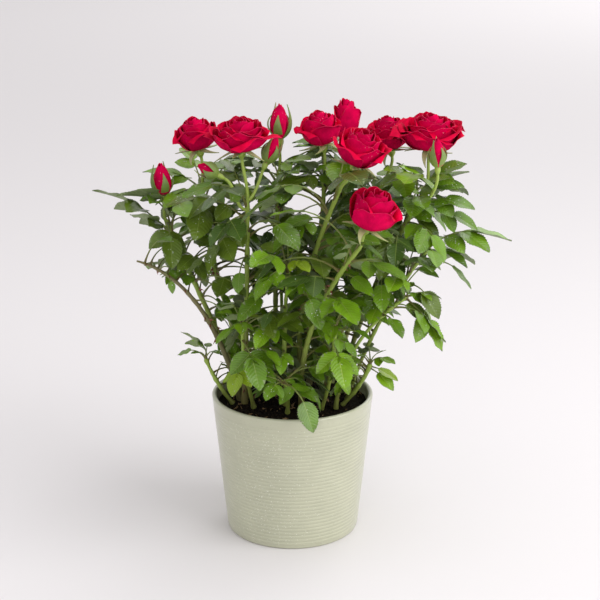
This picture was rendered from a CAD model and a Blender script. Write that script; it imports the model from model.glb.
# A miniature rose in flower, in its ribbed pale green pot, built as a lesson in cells.

# %% [markdown]
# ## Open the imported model
# The solids of the plant are already made and packed. They give every size and place, so the script opens
# them first and measures the whole plant's box. Blender counts in metres, with Z up and the origin under
# the pot. The tables below are in millimetres, which suit a plant in a pot.

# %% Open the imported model
import math

import bpy
import numpy as np
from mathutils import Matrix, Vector


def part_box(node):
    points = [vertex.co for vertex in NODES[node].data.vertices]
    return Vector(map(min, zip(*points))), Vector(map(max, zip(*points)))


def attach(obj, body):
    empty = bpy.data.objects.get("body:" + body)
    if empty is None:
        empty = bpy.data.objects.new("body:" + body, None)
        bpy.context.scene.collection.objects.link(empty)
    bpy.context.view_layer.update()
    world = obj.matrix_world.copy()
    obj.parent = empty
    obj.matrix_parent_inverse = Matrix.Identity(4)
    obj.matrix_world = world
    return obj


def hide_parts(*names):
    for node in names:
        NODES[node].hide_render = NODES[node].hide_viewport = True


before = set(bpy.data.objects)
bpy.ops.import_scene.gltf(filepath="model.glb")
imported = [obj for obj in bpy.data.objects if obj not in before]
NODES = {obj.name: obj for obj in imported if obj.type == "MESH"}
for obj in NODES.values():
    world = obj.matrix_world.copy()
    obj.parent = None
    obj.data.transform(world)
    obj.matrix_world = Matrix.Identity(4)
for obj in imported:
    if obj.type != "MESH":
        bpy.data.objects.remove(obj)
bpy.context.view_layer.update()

# %% [markdown]
# ## The camera
# The pot's rim and foot are circles, and how flat their ellipses look gives the camera: a long lens a good
# metre away, a little above the flowers and looking down at the pot. It comes first, so that every test
# render already has the right view.

# %% The camera
MM = 0.001
EYE = np.array([6.35, -1100, 534.1]) * MM
LOOK_DOWN = 0.296
SENSOR = 36.0
LENS = 83.8

camera = bpy.data.objects.new("camera", bpy.data.cameras.new("camera"))
camera.data.sensor_width = SENSOR
camera.data.lens = LENS
camera.location = EYE
camera.rotation_euler = (math.pi / 2 - LOOK_DOWN, 0, 0)
bpy.context.scene.collection.objects.link(camera)
bpy.context.scene.camera = camera
bpy.context.scene.view_settings.view_transform = "Standard"
print("camera", [round(x, 3) for x in EYE], "lens", LENS)

# %% [markdown]
# ## The room: floor and soft light
# Product photographs of plants use a pale sweep and big soft lamps, so that leaves show their gloss as
# broad patches and shadows hardly show. One large pale floor fills the view, because the camera looks down.
# One wide lamp at the right lights most of the plant, and a weak one at the front opens its shadows. A
# small one hangs above it, and the strongest lights only the floor far behind.

# %% The room: floor and soft light
FLOOR_SIZE = 30.0
FLOOR_COLOUR = (0.785, 0.760, 0.773, 1)
FLOOR_ROUGHNESS = 0.7
WORLD_COLOUR = (1.0, 0.985, 0.985, 1)
WORLD_STRENGTH = 0.75


def area_lamp(name, place, aim, size, power):
    """A square lamp, its size in metres and its power in watts. It faces a point: its local -Z axis is
    turned along aim minus place."""
    lamp = bpy.data.objects.new(name, bpy.data.lights.new(name, "AREA"))
    lamp.data.shape = "SQUARE"
    lamp.data.size = size
    lamp.data.energy = power
    lamp.location = place
    lamp.rotation_euler = (Vector(aim) - Vector(place)).to_track_quat("-Z", "Y").to_euler()
    bpy.context.scene.collection.objects.link(lamp)


area_lamp("lamp_right", (1.6, -0.9, 1.25), (0, 0, 0.22), size=1.8, power=28)
area_lamp("lamp_front", (-0.3, -1.8, 0.75), (0, 0, 0.24), size=0.8, power=3.5)
area_lamp("lamp_above", (0.5, 0.1, 1.7), (0, 0, 0.2), size=0.8, power=5)
area_lamp("lamp_background", (2.9, 5.2, 3.0), (2.3, 5.2, 0), size=4.0, power=95)

world = bpy.data.worlds.new("soft_room")
world.use_nodes = True
glow = world.node_tree.nodes["Background"].inputs
glow["Color"].default_value = WORLD_COLOUR
glow["Strength"].default_value = WORLD_STRENGTH
bpy.context.scene.world = world

floor_mesh = bpy.data.meshes.new("floor")
half_floor = FLOOR_SIZE / 2
floor_corners = [(x * half_floor, y * half_floor, 0) for x, y in ((-1, -1), (1, -1), (1, 1), (-1, 1))]
floor_mesh.from_pydata(floor_corners, [], [(0, 1, 2, 3)])
floor = bpy.data.objects.new("floor", floor_mesh)
bpy.context.scene.collection.objects.link(floor)
floor_paper = bpy.data.materials.new("floor_paper")
floor_paper.use_nodes = True
paper = floor_paper.node_tree.nodes["Principled BSDF"].inputs
paper["Base Color"].default_value = FLOOR_COLOUR
paper["Roughness"].default_value = FLOOR_ROUGHNESS
floor_mesh.materials.append(floor_paper)
print("floor", FLOOR_SIZE, "m wide")

# %% [markdown]
# ## A bundle of arrays
# A plant is thousands of small shapes of a few kinds. Making an object for each would be slow, so all
# shapes of one kind are kept as numpy arrays and joined into one mesh. A bundle holds points, faces, the
# material slot of each face and a flat coordinate (UV) for each point. Copies of one shape share its list
# of faces.

# %% A bundle of arrays


class Bundle:
    """Shapes of one kind, kept as arrays. The corners of a shape's faces are its list plus the points
    before it."""

    def __init__(self):
        self.points, self.corners, self.counts, self.slots, self.uvs = [], [], [], [], []
        self.size = 0

    def add(self, points, faces, slots=None, uv=(0, 0)):
        """points: (copies, n, 3) in millimetres. faces: arrays (f, corners). slots: a number or (copies, 1)
        for each array of faces, 0 where left out. uv: (n, 2) for all copies, or (copies, n, 2)."""
        points = np.asarray(points, float)
        points = points.reshape(-1, *points.shape[-2:])
        copies, count, _ = points.shape
        starts = self.size + np.arange(copies) * count
        for block, slot in zip(faces, slots or [0] * len(faces)):
            self.corners.append((block[None] + starts[:, None, None]).ravel())
            self.counts.append(np.full(copies * len(block), block.shape[1]))
            self.slots.append(np.broadcast_to(slot, (copies, len(block))).ravel())
        self.points.append(points.reshape(-1, 3))
        self.uvs.append(np.broadcast_to(uv, (copies, count, 2)).reshape(-1, 2))
        self.size += copies * count
        return self

    def piece(self, name, materials, slot, replaced=(), sharp=50):
        """Joins the arrays into one mesh, shades it smooth up to an angle, and seats it on the plant's
        body."""
        mesh = bpy.data.meshes.new(name)
        corners = np.concatenate(self.corners).astype(np.int32)
        counts = np.concatenate(self.counts)
        mesh.vertices.add(self.size)
        mesh.vertices.foreach_set("co", (np.concatenate(self.points) * MM).astype(np.float32).ravel())
        mesh.loops.add(len(corners))
        mesh.loops.foreach_set("vertex_index", corners)
        mesh.polygons.add(len(counts))
        mesh.polygons.foreach_set("loop_start", (np.cumsum(counts) - counts).astype(np.int32))
        mesh.polygons.foreach_set("material_index", np.concatenate(self.slots).astype(np.int32))
        mesh.update(calc_edges=True)
        mesh.validate()
        uvs = np.concatenate(self.uvs)[corners]
        mesh.uv_layers.new(name="UVMap").data.foreach_set("uv", uvs.astype(np.float32).ravel())
        for material in materials:
            mesh.materials.append(material)
        mesh.shade_smooth()
        mesh.set_sharp_from_angle(angle=math.radians(sharp))
        made = bpy.data.objects.new(name, mesh)
        bpy.context.scene.collection.objects.link(made)
        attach(made, "root")
        if replaced:
            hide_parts(*replaced)
        print(name, "triangles", int((counts - 2).sum()))
        return made


def unit(vectors):
    """Each vector divided by its length."""
    vectors = np.asarray(vectors, float)
    return vectors / np.linalg.norm(vectors, axis=-1, keepdims=True)


def full_turn(count):
    """The angles of one full turn, in equal steps."""
    return np.arange(count) / count * 2 * np.pi


def grid_faces(rows, columns, closed=False):
    """Quads of a grid of points, row after row. A closed grid also joins its last column to its first."""
    i, j = np.meshgrid(np.arange(rows - 1), np.arange(columns if closed else columns - 1), indexing="ij")
    near, far = (j % columns).ravel(), ((j + 1) % columns).ravel()
    low = i.ravel() * columns
    return np.stack([low + near, low + far, low + columns + far, low + columns + near], axis=1)


def tube_faces(rows, columns):
    """Faces of a tube of rings: its closed grid, and one flat face over each end."""
    ring = np.arange(columns)
    return [grid_faces(rows, columns, closed=True), np.stack([ring[::-1], ring + (rows - 1) * columns])]


def flat_map(across, along):
    """The flat coordinates of a grid of points: the number of each one's column, and of its row."""
    return np.stack(np.broadcast_arrays(across[None], along[:, None]), axis=-1).reshape(-1, 2)


def tubes(paths, radii, sides, towards):
    """Tubes along paths of (copies, n, 3) points. Round each point lies a ring spanned by the sideways
    direction and its cross product with the path's direction. The radii fit (copies, n, sides)."""
    paths = np.asarray(paths, float)
    paths = paths.reshape(-1, *paths.shape[-2:])
    copies, count, _ = paths.shape
    along = unit(np.gradient(paths, axis=1))
    towards = np.broadcast_to(towards, (copies, 3))[:, None]
    across = unit(towards - (along * towards).sum(axis=-1, keepdims=True) * along)
    other = np.cross(along, across)
    turn = full_turn(sides)
    reach = np.cos(turn)[:, None] * across[:, :, None] + np.sin(turn)[:, None] * other[:, :, None]
    radii = np.broadcast_to(radii, (copies, count, sides))
    points = paths[:, :, None] + radii[..., None] * reach
    uv = flat_map(turn / (2 * np.pi), np.linspace(0, 1, count))
    return points.reshape(copies, -1, 3), tube_faces(count, sides), uv


print("helpers ready")

# %% [markdown]
# ## Helpers for materials
# Each finish starts from Blender's Principled shader. A small function adds one node and joins its inputs,
# which keeps every recipe down to the few lines that matter. Numbers that are the same all over a surface
# go straight onto the shader.

# %% Helpers for materials


def finish_of(name, **numbers):
    """A new material whose Principled shader has the given numbers, written as Base_Color or Roughness."""
    material = bpy.data.materials.new(name)
    material.use_nodes = True
    shader = material.node_tree.nodes["Principled BSDF"]
    for key, value in numbers.items():
        shader.inputs[key.replace("_", " ")].default_value = value
    return material


def node(material, kind, inputs, output=0, **settings):
    """Adds one shader node. Each input is a number, a colour or another node's output. Returns one
    output."""
    made = material.node_tree.nodes.new("ShaderNode" + kind)
    for key, value in settings.items():
        setattr(made, key, value)
    for key, value in inputs.items():
        if isinstance(value, bpy.types.NodeSocket):
            material.node_tree.links.new(value, made.inputs[key])
        else:
            made.inputs[key].default_value = value
    return made.outputs[output]


def math_node(material, operation, *values):
    """One sum, product or other operation on numbers and outputs, in the order given."""
    return node(material, "Math", dict(enumerate(values)), operation=operation)


def mix_colour(material, share, low, high, blend="MIX"):
    """A share of one colour laid over another: low times (1 - share) plus high times share."""
    inputs = {0: share, 6: low, 7: high}
    return node(material, "Mix", inputs, output=2, data_type="RGBA", blend_type=blend)


def noise(material, scale, detail=3.0, roughness=0.5, stretch=(1, 1, 1)):
    """Cloudy noise in the object's own coordinates, in features per metre."""
    place = node(material, "TexCoord", {}, output=3)
    place = node(material, "Mapping", {0: place, 3: stretch})
    inputs = {"Vector": place, "Scale": scale, "Detail": detail, "Roughness": roughness}
    return node(material, "TexNoise", inputs)


def ramp(material, factor, low, high):
    """Stretches a value so that low becomes 0 and high becomes 1, and stops there."""
    return node(material, "MapRange", {0: factor, 1: low, 2: high, 3: 0.0, 4: 1.0}, clamp=True)


def plug(material, **links):
    """Joins outputs to the shader's inputs."""
    shader = material.node_tree.nodes["Principled BSDF"]
    for key, value in links.items():
        material.node_tree.links.new(value, shader.inputs[key.replace("_", " ")])


def bump(material, height, distance, strength=1.0):
    """Relief from a height of 0 to 1, as deep as the distance in metres."""
    return node(material, "Bump", {"Height": height, "Distance": distance, "Strength": strength})


def shaded(colour, factor):
    """The same colour, darker or lighter by a factor."""
    return tuple(channel * factor for channel in colour[:3]) + (1,)


def mottled(name, scale, low, high, **numbers):
    """A finish whose colour drifts between two by cloudy noise."""
    made = finish_of(name, **numbers)
    plug(made, Base_Color=mix_colour(made, noise(made, scale), low, high))
    return made


print("material helpers ready")

# %% [markdown]
# ## The pot
# The real pot is thrown or cast with fine ribs under a smooth band at its lip, and dipped in a pale sage
# glaze that pools a little in the grooves. A lathe of one profile gives all of it: the ribs are a formula
# in the profile, so each groove is real relief that catches light, and a slow wobble round the pot keeps
# them from looking machined.

# %% Glaze
GLAZE = (0.476, 0.484, 0.352, 1)
SPECK_BROWN = (0.36, 0.35, 0.25, 1)

pot_glaze = finish_of("pot_glaze", Roughness=0.34, Coat_Weight=0.6, Coat_Roughness=0.12)
clouds = ramp(pot_glaze, noise(pot_glaze, 38, 4), 0.35, 0.7)
toned = mix_colour(pot_glaze, clouds, shaded(GLAZE, 0.95), shaded(GLAZE, 1.03))
specks = ramp(pot_glaze, noise(pot_glaze, 900, 1), 0.71, 0.76)
plug(pot_glaze, Base_Color=mix_colour(pot_glaze, specks, toned, SPECK_BROWN))
plug(pot_glaze, Normal=bump(pot_glaze, noise(pot_glaze, 420, 2), 0.00012, 0.5))
print("glaze", GLAZE[:3])

# %% The pot's measures
POT_SEGMENTS = 144
POT_WOBBLE = 0.0008
RIBS = 33
RIB_STEPS = 8
RIB_DEPTH = 0.36
RIB_INSET = 0.25
RIB_START = 1.2
LIP_BAND = 9.5
EDGE = 2.0
WALL = 4.0
FOOT_TAPER = 12

pot_high = np.array(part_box("pot")[1]) / MM
soil_low, soil_high = (np.array(corner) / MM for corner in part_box("soil"))
RIM_RADIUS = pot_high[0]
POT_HEIGHT = pot_high[2]
FOOT_RADIUS = RIM_RADIUS - FOOT_TAPER
FLOOR_HEIGHT = soil_low[2] - 0.3
SOIL_LEVEL = soil_high[2]
print("pot", round(2 * RIM_RADIUS), "mm across its rim and", round(POT_HEIGHT), "mm tall")

# %% Pot


def pot_wall(height):
    """The straight outside wall: its radius grows evenly from the foot to the rim."""
    return FOOT_RADIUS + (RIM_RADIUS - FOOT_RADIUS) * height / POT_HEIGHT


def arc(centre, radius, start, end, steps):
    """Points on a circle from one angle to another, in degrees."""
    angle = np.radians(np.linspace(start, end, steps))
    return np.stack([centre[0] + radius * np.cos(angle), centre[1] + radius * np.sin(angle)], axis=1)


def pot_profile():
    """Radius and height from the underside's centre, up the ribbed wall, over the lip and down the inside.
    A rib stands out of the wall by the sine of its share of the pitch, so its grooves are sharp and its
    back is round."""
    ribs_top = POT_HEIGHT - LIP_BAND
    share = np.linspace(0, 1, RIBS * RIB_STEPS + 1)
    height = EDGE + RIB_START + (ribs_top - EDGE - RIB_START) * share
    relief = RIB_DEPTH * np.abs(np.sin(np.pi * RIBS * share)) ** 0.7
    wall = np.stack([pot_wall(height) - RIB_INSET + relief, height], axis=1)
    foot = arc((pot_wall(EDGE) - EDGE, EDGE), EDGE, -90, 0, 6)
    band_height = np.linspace(ribs_top + 0.8, POT_HEIGHT - EDGE, 6)
    band = np.stack([pot_wall(band_height) + 0.05, band_height], axis=1)
    lip = arc((RIM_RADIUS - WALL / 2, POT_HEIGHT - WALL / 2), WALL / 2, 10, 180, 9)
    inside_height = np.linspace(POT_HEIGHT - 4, FLOOR_HEIGHT, 12)
    inside = np.stack([pot_wall(inside_height) - WALL, inside_height], axis=1)
    return np.concatenate([[[0.5, 0]], foot, wall, band, lip, inside, [[0.5, FLOOR_HEIGHT]]])


def round_z(radius, turn, height):
    """Points round the Z axis: x is the radius times the cosine of the turn, y the radius times its
    sine."""
    return np.stack(np.broadcast_arrays(radius * np.cos(turn), radius * np.sin(turn), height), axis=-1)


def lathe(profile, segments, wobble=0.0):
    """Turns a profile round Z. Each point's radius is its own times 1 plus a small wobble of the angle."""
    turn = full_turn(segments)
    radius, height = profile[:, 0, None], profile[:, 1, None]
    radius = radius * (1 + wobble * np.sin(2 * turn + height * 0.05))
    uv = flat_map(turn / (2 * np.pi), profile[:, 1] / POT_HEIGHT)
    return round_z(radius, turn, height).reshape(-1, 3), tube_faces(len(profile), segments), uv


pot_points, faces, uv = lathe(pot_profile(), POT_SEGMENTS, POT_WOBBLE)
pot = Bundle().add(pot_points, faces, uv=uv)
pot.piece("ribbed_pot", [pot_glaze], "pot_glaze", ["pot"], sharp=75)

# %% [markdown]
# ## The potting mix
# Potting mix is dark, moist and lumpy: fine peat with shreds of bark, a few of them pale. The level body of
# the mix gets a surface of low mounds from a sum of waves, and then loose crumbs are strewn over it. A
# crumb is one small lump, an octahedron with its corners pushed about, and each copy is stretched, turned
# and sunk in its own way.

# %% Mix finishes
MIX_DARK = (0.0055, 0.004, 0.003, 1)
MIX_BROWN = (0.021, 0.012, 0.006, 1)
BARK_TAN = (0.30, 0.19, 0.085, 1)

mix_dark = finish_of("mix_dark", Roughness=0.85, Specular_IOR_Level=0.12)
crumble = ramp(mix_dark, noise(mix_dark, 700, 4), 0.4, 0.7)
plug(mix_dark, Base_Color=mix_colour(mix_dark, crumble, MIX_DARK, MIX_BROWN))
plug(mix_dark, Normal=bump(mix_dark, noise(mix_dark, 1500, 3), 0.0008))
mix_brown = mottled("mix_brown", 900, MIX_DARK, shaded(MIX_BROWN, 1.6), Roughness=0.8, Specular_IOR_Level=0.2)
bark_tan = mottled("bark_tan", 800, shaded(BARK_TAN, 0.45), BARK_TAN, Roughness=0.75)
print("mix finishes", mix_dark.name, mix_brown.name, bark_tan.name)

# %% Potting mix
MIX_RINGS = 46
MIX_SEGMENTS = 110
MIX_SINK = 0.6
MIX_RADIUS = pot_wall(SOIL_LEVEL) - WALL - 0.3
MIX_WAVES = ((31, 0.9), (17, 0.7), (9.5, 0.5), (5.3, 0.4), (3.1, 0.3))


def mix_height(x, y):
    """Height of the mix over its level: a sum of crossing waves of several sizes, up to about 2 mm."""
    height = np.zeros_like(x)
    for size, tall in MIX_WAVES:
        for turn in (0.3, 1.7, 2.6):
            across = x * math.cos(turn + size) + y * math.sin(turn + size)
            height += tall / 3 * np.sin(2 * np.pi * across / size + size * turn)
    return height


turn = full_turn(MIX_SEGMENTS)
top = round_z(np.linspace(0.3, MIX_RADIUS, MIX_RINGS)[::-1, None], turn, 0)
top[..., 2] = SOIL_LEVEL - MIX_SINK + mix_height(top[..., 0], top[..., 1])
side_height = np.array([FLOOR_HEIGHT + 0.3, SOIL_LEVEL - 12])[:, None]
side = round_z(pot_wall(side_height) - WALL - 0.4, turn, side_height)
surface = np.concatenate([side, top])
mix = Bundle().add(surface.reshape(-1, 3), tube_faces(len(surface), MIX_SEGMENTS))
mix.piece("potting_mix", [mix_dark], "potting_mix", ["soil"])

# %% Crumbs and bark
CRUMBS = 1500
CRUMB_SINK = 0.5
BARK_SHARE = 0.10
BROWN_SHARE = 0.35
BARK_STRETCH = (2.8, 1.6, 0.45)
LUMP = unit([(1, 0, 0), (0, 1, 0), (-1, 0, 0), (0, -1, 0), (0, 0, 1), (0, 0, -1)])
LUMP_FACES = np.array([(i, (i + 1) % 4, 4) for i in range(4)] + [((i + 1) % 4, i, 5) for i in range(4)])

draw = np.random.default_rng(7)


def rotations(count):
    """Random turns as matrices, from random quaternions."""
    w, x, y, z = unit(draw.normal(size=(count, 4))).T
    rows = [
        [1 - 2 * (y * y + z * z), 2 * (x * y - z * w), 2 * (x * z + y * w)],
        [2 * (x * y + z * w), 1 - 2 * (x * x + z * z), 2 * (y * z - x * w)],
        [2 * (x * z - y * w), 2 * (y * z + x * w), 1 - 2 * (x * x + y * y)],
    ]
    return np.array(rows).transpose(2, 0, 1)


crumb_radius = MIX_RADIUS * np.sqrt(draw.uniform(0, 0.97, CRUMBS)) - 1
crumb_base = round_z(crumb_radius, draw.uniform(0, 2 * np.pi, CRUMBS), 0)
crumb_base[:, 2] = SOIL_LEVEL - CRUMB_SINK + mix_height(crumb_base[:, 0], crumb_base[:, 1])
crumb_size = draw.uniform(0.5, 1.5, (CRUMBS, 1)) * draw.uniform(0.6, 1.5, (CRUMBS, 3))
is_bark = draw.uniform(0, 1, CRUMBS) < BARK_SHARE
crumb_size[is_bark] *= BARK_STRETCH
lumps = LUMP[None] * draw.uniform(0.7, 1.2, (CRUMBS, len(LUMP), 1)) * crumb_size[:, None]
lumps = np.einsum("nij,nkj->nki", rotations(CRUMBS), lumps)
crumb_look = np.where(is_bark, 2, (draw.uniform(0, 1, CRUMBS) < BROWN_SHARE).astype(int))
crumbs = Bundle().add(lumps + crumb_base[:, None], [LUMP_FACES], [crumb_look[:, None]])
crumbs.piece("bark_crumbs", [mix_dark, mix_brown, bark_tan], "potting_mix", sharp=30)

# %% [markdown]
# ## The rule of growth
# Every stem of the plant is a curve from a foot on the soil, past a middle point, to a head. Leaves sit
# along it, each a golden angle on from the last, and a few leaves reach for a place of their own. This is
# the same rule that made the solids, written again: a seeded stream of numbers gives each leaf its turn,
# rise, droop and size, so both plants agree leaf by leaf. Each row of the tables holds a stem's foot, the
# point it passes, its head, the share of it that stays bare, how many leaves it has and how long their
# leaflets are. Its reaching leaves follow, each with its share of the way up the stem, the place of its tip
# and its size.

# %% The stems
STEM_FIELDS = ("foot", "via", "head", "bare", "leaves", "size")
CANES = {
    "stub": [(-44, 4), (-76, -18, 199), (-125, -15, 236), 0.72, 1, 20, (0.86, -118, 8, 224, 19),
        (0.8, -92, -46, 212, 17)],
    "bud_left": [(-38, 14), (-76, 8, 200), (-103, 4, 266), 0.45, 6, 31, (0.86, -161, -6, 294, 36),
        (0.97, -94, -36, 234, 28)],
    "left_back": [(-28, 30), (-64, 34, 210), (-74, 26, 288), 0.45, 8, 33, (0.98, -124, 32, 304, 34),
        (0.94, -106, -30, 279, 38), (0.9, -112, 62, 250, 30)],
    "left_front": [(-40, -6), (-37, -14, 205), (-35, -25, 292), 0.4, 8, 35, (0.9, -66, -66, 256, 32),
        (0.82, -70, -50, 228, 32), (0.7, -44, -66, 212, 30)],
    "bud_middle": [(-14, 26), (-14, 30, 220), (-10, 18, 306), 0.45, 8, 36, (0.97, 14, -4, 318, 24),
        (0.96, -44, 4, 305, 30)],
    "middle": [(2, 34), (20, 26, 220), (26, 12, 302), 0.5, 8, 34, (0.98, -14, -26, 294, 36),
        (0.93, 42, 66, 306, 34)],
    "tall": [(14, 40), (36, 50, 225), (45, 40, 302), 0.5, 8, 34, (0.95, 30, 100, 296, 34)],
    "middle_front": [(8, 6), (10, -14, 205), (38, -34, 300), 0.4, 8, 36, (0.86, -18, -52, 271, 38),
        (0.7, 26, -70, 240, 32)],
    "back": [(27, 27), (66, 46, 215), (78, 36, 292), 0.45, 9, 34, (0.97, 110, 88, 286, 34),
        (0.96, 98, -6, 300, 28)],
    "right": [(38, 14), (67, 8, 205), (106, 0, 288), 0.45, 9, 33, (0.97, 145, 22, 304, 32),
        (0.93, 92, -54, 278, 34), (0.95, 146, 26, 284, 26), (0.84, 126, -34, 234, 32)],
    "front": [(8, -14), (16, -40, 188), (52, -66, 260), 0.5, 5, 32, (0.92, 88, -92, 242, 32),
        (0.8, -12, -84, 234, 31), (0.7, 50, -96, 210, 32)],
}
SHOOTS = {
    "low_left": [(-50, -6), (-62, -10, 130), (-72, -10, 152), 0, 2, 17, (0.97, -91, -14, 178, 20)],
    "left_side": [(-46, 22), (-66, 24, 165), (-84, 22, 215), 0, 6, 28, (0.97, -106, -16, 214, 24)],
    "front_left": [(-32, -16), (-38, -28, 150), (-40, -38, 190), 0, 6, 30, (0.8, -23, -78, 144, 34),
        (0.55, -50, -60, 134, 24), (0.94, -66, -60, 176, 26)],
    "drape": [(-4, -28), (-4, -40, 136), (-8, -54, 146), 0, 2, 26, (1, 19, -89, 113, 30),
        (0.6, 22, -66, 134, 22)],
    "front_right": [(24, -20), (32, -34, 150), (34, -46, 192), 0, 7, 30, (0.8, 42, -84, 148, 34),
        (0.5, 48, -64, 132, 26), (0.95, 74, -66, 182, 28)],
    "low_right": [(42, -10), (56, -18, 132), (64, -24, 152), 0, 3, 23, (0.93, 86, -34, 140, 20)],
    "right_side": [(36, -18), (53, -24, 168), (94, -20, 208), 0, 6, 31, (0.86, 125, -28, 170, 30),
        (0.98, 134, -16, 205, 26), (0.78, 90, -58, 182, 28)],
    "right_wing": [(46, 2), (74, -6, 186), (116, 2, 248), 0, 6, 31, (0.98, 182, 10, 247, 38),
        (0.92, 154, 22, 226, 34), (0.86, 148, -10, 211, 26)],
    "centre": [(-6, -10), (-6, -30, 185), (-2, -44, 240), 0, 8, 33, (0.98, -30, -84, 222, 28),
        (0.86, 24, -84, 196, 30)],
    "back_left": [(-36, 38), (-60, 66, 180), (-74, 78, 248), 0, 7, 33, (0.92, -122, 92, 232, 32),
        (0.96, -84, 128, 242, 34)],
    "back_middle": [(-6, 46), (-10, 78, 185), (-8, 92, 262), 0, 7, 34, (0.92, -24, 140, 236, 34),
        (0.97, 16, 134, 270, 34)],
    "back_right": [(34, 42), (60, 68, 185), (84, 80, 252), 0, 7, 33, (0.95, 138, 88, 246, 33),
        (0.9, 94, 130, 224, 34)],
    "low_back_left": [(-24, 46), (-34, 62, 138), (-42, 76, 172), 0, 4, 26, (0.95, -66, 100, 152, 26)],
    "low_back_right": [(18, 48), (30, 64, 138), (38, 76, 172), 0, 4, 26, (0.95, 70, 96, 152, 26)],
}
print("rows for", len(CANES), "canes and", len(SHOOTS), "shoots")

# %% Curves
UP = np.array([0.0, 0.0, 1.0])
FLARE = 0.4
FLARE_SHARE = 0.08
CANE_RADII = (2.3, 1.5)
SHOOT_RADII = (1.725, 1.2)


def bezier(corners, share):
    """Points of the smooth curve that a few corners pull along: each pass blends neighbouring corners by
    the share of the way, until one is left."""
    share = np.atleast_1d(share)[:, None]
    layer = [np.asarray(corner, float)[None] for corner in corners]
    while len(layer) > 1:
        layer = [low * (1 - share) + high * share for low, high in zip(layer, layer[1:])]
    return layer[0]


def heading_at(corners, share):
    """Direction of a curve, from two points close together."""
    share = np.atleast_1d(share)
    return unit(bezier(corners, np.minimum(share + 1e-4, 1)) - bezier(corners, np.maximum(share - 1e-4, 0)))


def wood_radius(stem, share):
    """A stem's radius: it narrows evenly from root to tip, and flares a little just above the soil."""
    flare = 1 + FLARE * np.maximum(0, 1 - share / FLARE_SHARE)
    return (stem["root"] + (stem["tip"] - stem["root"]) * share) * flare


STEMS = {}
for seed, (name, row) in enumerate({**CANES, **SHOOTS}.items(), 1):
    plan = dict(zip(STEM_FIELDS, row), reach=row[len(STEM_FIELDS):])
    foot = np.array([*plan["foot"], SOIL_LEVEL + 0.3])
    head = np.array(plan["head"], float)
    pull = 2 * np.array(plan["via"]) - 0.5 * foot - 0.5 * head
    root, tip = CANE_RADII if name in CANES else SHOOT_RADII
    corners = [foot, pull, head]
    length = np.linalg.norm(np.diff(bezier(corners, np.linspace(0, 1, 201)), axis=0), axis=1).sum()
    STEMS[name] = {**plan, "seed": seed, "corners": corners, "root": root, "tip": tip, "length": length}
print("stems", len(STEMS), "mm of wood", round(sum(stem["length"] for stem in STEMS.values())))

# %% One compound leaf
LEAF_BELLY = 0.42
LEAF_WIDTH = 0.57
LEAFLET_DIP = math.radians(12)
LEAFLET_SAG = 0.05
PAIR_DIP = math.radians(20)
PAIR_PLACES = [0.8, 0.42]
PAIR_SIZES = [0.82, 0.68]
PAIR_SPREADS = [math.radians(56), math.radians(72)]
PAIR_ROOM = 15


def spine(way, share):
    """Points along a leaf's stalk, an arc: it leaves at the angle rise above level and bends down by
    droop."""
    share = np.atleast_1d(share)[:, None]
    out = np.array([math.cos(way["azimuth"]), math.sin(way["azimuth"]), 0])
    slope = way["rise"] - way["droop"] * share
    reach = way["length"] / way["droop"]
    level = reach * (math.sin(way["rise"]) - np.sin(slope))
    return way["root"] + level * out + reach * (np.cos(slope) - math.cos(way["rise"])) * UP


def leaflet(way, share, spread, scale):
    """One leaflet: its base on the stalk, its direction, the normal of its face and its length. The end
    leaflet tips down. A pair spreads to both sides of the stalk and dips."""
    slope = way["rise"] - way["droop"] * share - (0 if spread else LEAFLET_DIP)
    out = np.array([math.cos(way["azimuth"]), math.sin(way["azimuth"]), 0])
    side = np.cross(UP, out)
    along = out * math.cos(slope) + UP * math.sin(slope)
    face = UP * math.cos(slope) - out * math.sin(slope)
    turned = side * math.cos(way["roll"]) + face * math.sin(way["roll"])
    normal = face * math.cos(way["roll"]) - side * math.sin(way["roll"])
    aim = along * math.cos(spread) + turned * math.sin(spread)
    dip = PAIR_DIP if spread else 0.0
    return {
        "base": spine(way, share)[0],
        "along": aim * math.cos(dip) - normal * math.sin(dip),
        "normal": normal * math.cos(dip) + aim * math.sin(dip),
        "length": way["size"] * scale,
    }


def leaflets_of(way):
    """A leaf's end leaflet and then its pairs, as many as its length has room for."""
    made = [leaflet(way, 1, 0, 1)]
    for pair in range(min((way["count"] - 1) // 2, int(way["length"] // PAIR_ROOM))):
        for hand in (1, -1):
            made.append(leaflet(way, PAIR_PLACES[pair], hand * PAIR_SPREADS[pair], PAIR_SIZES[pair]))
    return made


def on_leaflet(one, u, v, w):
    """A place on a leaflet: shares of its length along it, across it and above it."""
    across = np.cross(one["along"], one["normal"])
    return one["base"] + one["length"] * (u * one["along"] + v * across + w * one["normal"])


print("leaflets a leaf", 1 + 2 * len(PAIR_PLACES))


# %% Where leaves grow
GOLDEN_ANGLE = math.radians(137.5)
NODE_STEP = 3.4
SHOOT_BARE = 0.22
LAST_LEAF = 0.97
UPPER = 0.6
STALK_LENGTH = 1.4
THREE_LEAFLETS_ABOVE = 0.9
TURNS = [0, 0.5, -0.5, 1, -1, 1.6, -1.6]
SCALES = [1, 0.78]
REACH_DROOPS = [0.9, 0.6, 1.2, 0.3, 0.12]


def stream(seed):
    """A seeded stream of numbers from -1 to 1."""
    state = seed

    def following():
        nonlocal state
        state = (state * 1664525 + 1013904223) % 2**32
        return state / 2**31 - 1

    return following


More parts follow.
